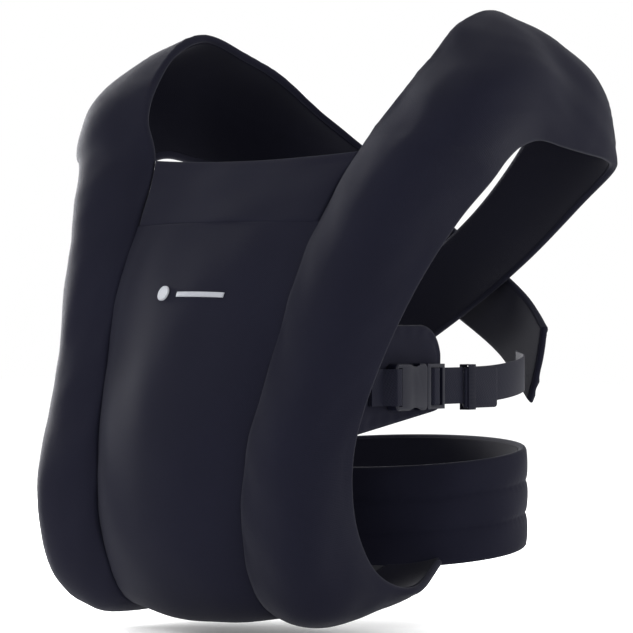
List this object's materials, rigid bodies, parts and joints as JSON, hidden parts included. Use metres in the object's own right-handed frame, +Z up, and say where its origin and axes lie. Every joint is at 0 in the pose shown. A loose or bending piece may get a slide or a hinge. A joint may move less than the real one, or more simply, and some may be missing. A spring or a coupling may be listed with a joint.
{
  "type": "soft baby carrier",
  "caption": "Soft knit baby carrier in worn shape: front panel, fold-down head support, straps crossed at the back, quilted waistbelt, side-release buckles.",
  "frame": {"origin": "on the wearer's upright axis, level with the lower edge of the waistbelt at the wearer's side", "axes": "+Z up, the wearer faces -Y, the wearer's left is +X"},
  "size_m": [0.4646, 0.4261, 0.5058],
  "materials": {
    "knit": "matte fine knit, near-black navy",
    "lining": "matte knit lining",
    "foam": "soft open foam",
    "webbing": "woven polyester webbing",
    "elastic": "ribbed elastic",
    "buckle_plastic": "satin moulded acetal"
  },
  "bodies": {
    "carrier_front": {"front_belt_foam": "foam", "front_belt_lining": "lining", "front_belt_shell": "knit", "left_anchor_webbing": "webbing", "left_band_lining": "lining", "left_band_shell": "knit", "left_edge_binding": "knit", "left_socket": "buckle_plastic", "left_strap_foam": "foam", "left_tab_cover": "knit", "left_tab_foam": "foam", "panel_lining": "lining", "panel_shell": "knit", "right_anchor_webbing": "webbing", "right_band_lining": "lining", "right_band_shell": "knit", "right_edge_binding": "knit", "right_socket": "buckle_plastic", "right_strap_foam": "foam", "right_tab_cover": "knit", "right_tab_foam": "foam", "waist_anchor_webbing": "webbing", "waist_socket": "buckle_plastic"},
    "head_support": {"head_support_foam": "foam", "head_support_lining": "lining", "head_support_shell": "knit", "neckline_binding": "knit"},
    "left_back_strap": {"left_back_strap_shell": "knit", "left_back_strap_foam": "foam", "left_back_strap_lining": "lining", "right_webbing": "webbing", "right_folded_tail": "webbing", "right_adjusting_webbing": "webbing"},
    "right_back_strap": {"right_back_strap_shell": "knit", "right_back_strap_foam": "foam", "right_back_strap_lining": "lining", "left_webbing": "webbing", "left_folded_tail": "webbing", "left_adjusting_webbing": "webbing"},
    "back_belt": {"back_belt_shell": "knit", "back_belt_foam": "foam", "back_belt_lining": "lining", "waist_webbing": "webbing", "waist_folded_tail": "webbing", "waist_adjusting_webbing": "webbing"},
    "left_buckle_plug": {"left_plug": "buckle_plastic", "left_webbing_loop": "webbing"},
    "left_upper_arm": {"left_upper_arm": "buckle_plastic"},
    "left_lower_arm": {"left_lower_arm": "buckle_plastic"},
    "left_keeper": {"left_keeper": "elastic"},
    "right_buckle_plug": {"right_plug": "buckle_plastic", "right_webbing_loop": "webbing"},
    "right_upper_arm": {"right_upper_arm": "buckle_plastic"},
    "right_lower_arm": {"right_lower_arm": "buckle_plastic"},
    "right_keeper": {"right_keeper": "elastic"},
    "waist_buckle_plug": {"waist_plug": "buckle_plastic", "waist_webbing_loop": "webbing"},
    "waist_upper_arm": {"waist_upper_arm": "buckle_plastic"},
    "waist_lower_arm": {"waist_lower_arm": "buckle_plastic"},
    "waist_keeper": {"waist_keeper": "elastic"}
  },
  "joints": [
    {"name": "head_support_fold", "type": "hinge", "parent": "carrier_front", "child": "head_support", "pos_m": [0, -0.2186, 0.2798], "axis": [1, 0, 0], "range_deg": [0, 160]},
    {"name": "left_strap_swing", "type": "hinge", "parent": "carrier_front", "child": "left_back_strap", "pos_m": [0, -0.1515, 0.41], "axis": [1, 0, 0], "range_deg": [0, 50]},
    {"name": "right_strap_swing", "type": "hinge", "parent": "carrier_front", "child": "right_back_strap", "pos_m": [0, -0.1515, 0.41], "axis": [1, 0, 0], "range_deg": [0, 50]},
    {"name": "belt_swing", "type": "hinge", "parent": "carrier_front", "child": "back_belt", "pos_m": [0.1345, -0.02492, 0.042], "axis": [0, 0, -1], "range_deg": [0, 60]},
    {"name": "left_plug_slide", "type": "slide", "parent": "right_back_strap", "child": "left_buckle_plug", "axis": [0, 1, 0], "range_m": [0, 0.028], "deforming": ["left_adjusting_webbing"]},
    {"name": "left_upper_arm_flex", "type": "hinge", "parent": "left_buckle_plug", "child": "left_upper_arm", "pos_m": [0.153, -0.1386, 0.1565], "axis": [1, 0, 0], "range_deg": [0, 7], "stiffness_Nm_per_rad": 0.05},
    {"name": "left_lower_arm_flex", "type": "hinge", "parent": "left_buckle_plug", "child": "left_lower_arm", "pos_m": [0.153, -0.1386, 0.1355], "axis": [-1, 0, 0], "range_deg": [0, 7], "stiffness_Nm_per_rad": 0.05},
    {"name": "left_keeper_slide", "type": "slide", "parent": "right_back_strap", "child": "left_keeper", "axis": [0, 1, 0], "range_m": [0, 0.014]},
    {"name": "right_plug_slide", "type": "slide", "parent": "left_back_strap", "child": "right_buckle_plug", "axis": [0, 1, 0], "range_m": [0, 0.028], "deforming": ["right_adjusting_webbing"]},
    {"name": "right_upper_arm_flex", "type": "hinge", "parent": "right_buckle_plug", "child": "right_upper_arm", "pos_m": [-0.153, -0.1386, 0.1565], "axis": [1, 0, 0], "range_deg": [0, 7], "stiffness_Nm_per_rad": 0.05},
    {"name": "right_lower_arm_flex", "type": "hinge", "parent": "right_buckle_plug", "child": "right_lower_arm", "pos_m": [-0.153, -0.1386, 0.1355], "axis": [-1, 0, 0], "range_deg": [0, 7], "stiffness_Nm_per_rad": 0.05},
    {"name": "right_keeper_slide", "type": "slide", "parent": "left_back_strap", "child": "right_keeper", "axis": [0, 1, 0], "range_m": [0, 0.014]},
    {"name": "waist_plug_slide", "type": "slide", "parent": "back_belt", "child": "waist_buckle_plug", "axis": [0, 1, 0], "range_m": [0, 0.028], "deforming": ["waist_adjusting_webbing"]},
    {"name": "waist_upper_arm_flex", "type": "hinge", "parent": "waist_buckle_plug", "child": "waist_upper_arm", "pos_m": [-0.131, -0.01202, 0.0525], "axis": [1, 0, 0], "range_deg": [0, 7], "stiffness_Nm_per_rad": 0.05},
    {"name": "waist_lower_arm_flex", "type": "hinge", "parent": "waist_buckle_plug", "child": "waist_lower_arm", "pos_m": [-0.131, -0.01202, 0.0315], "axis": [-1, 0, 0], "range_deg": [0, 7], "stiffness_Nm_per_rad": 0.05},
    {"name": "waist_keeper_slide", "type": "slide", "parent": "back_belt", "child": "waist_keeper", "axis": [0, 1, 0], "range_m": [0, 0.003]}
  ],
  "couplings": [
    {"joint": "right_strap_swing", "follows": "left_strap_swing", "ratio": 1},
    {"joint": "left_lower_arm_flex", "follows": "left_upper_arm_flex", "ratio": 1},
    {"joint": "right_lower_arm_flex", "follows": "right_upper_arm_flex", "ratio": 1},
    {"joint": "waist_lower_arm_flex", "follows": "waist_upper_arm_flex", "ratio": 1}
  ]
}
